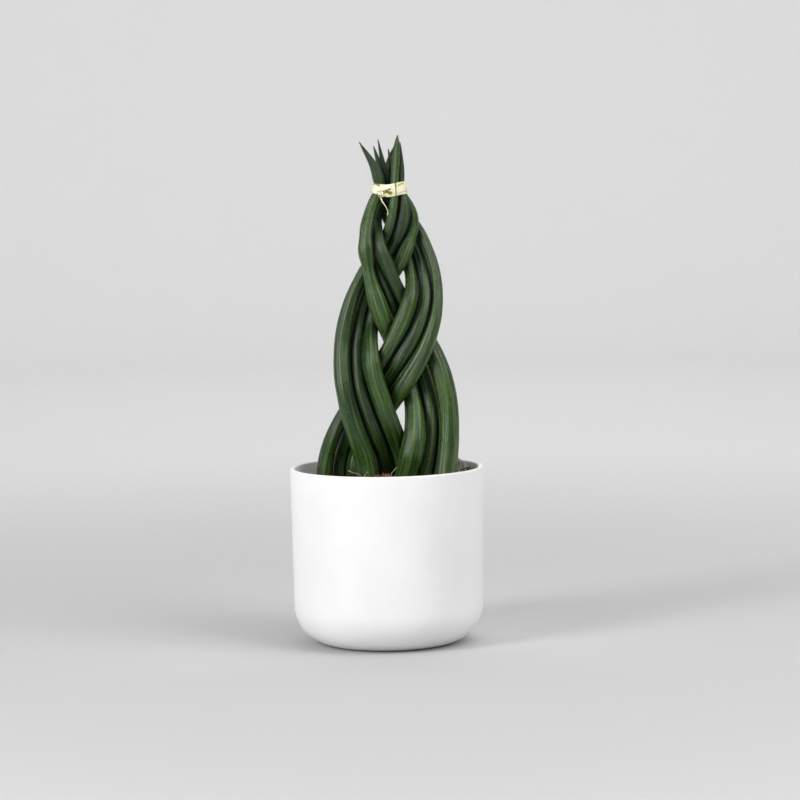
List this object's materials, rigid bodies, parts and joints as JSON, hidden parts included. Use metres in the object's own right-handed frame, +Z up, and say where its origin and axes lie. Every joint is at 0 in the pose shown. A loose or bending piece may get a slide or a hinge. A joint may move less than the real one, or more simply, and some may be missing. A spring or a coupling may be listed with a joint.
{
  "type": "braided cylindrical snake plant in a round pot",
  "caption": "Upright houseplant with round, ribbed, pointed leaves plaited flat in strands and bound with a foil band near the tips, rooted in soil in a plain round-cornered pot.",
  "frame": {"origin": "centre of the pot's foot, on the surface that the pot stands on", "axes": "+Z up along the pot's axis, +X to the right across the flat face of the plait, -Y to the front of the plait"},
  "size_m": [0.14, 0.14, 0.3678],
  "materials": {
    "pot": "satin white, unglazed look",
    "soil": "loose dark potting soil",
    "leaf": "fleshy dark green leaf, waxy satin",
    "tie": "thin pale gold foil, bright and slightly creased"
  },
  "bodies": {
    "root": {"pot": "pot", "soil": "soil", "leaf_a1": "leaf", "leaf_a2": "leaf", "leaf_a3": "leaf", "leaf_b1": "leaf", "leaf_b2": "leaf", "leaf_b3": "leaf", "leaf_c1": "leaf", "leaf_c2": "leaf", "leaf_c3": "leaf", "tie": "tie"}
  },
  "joints": []
}
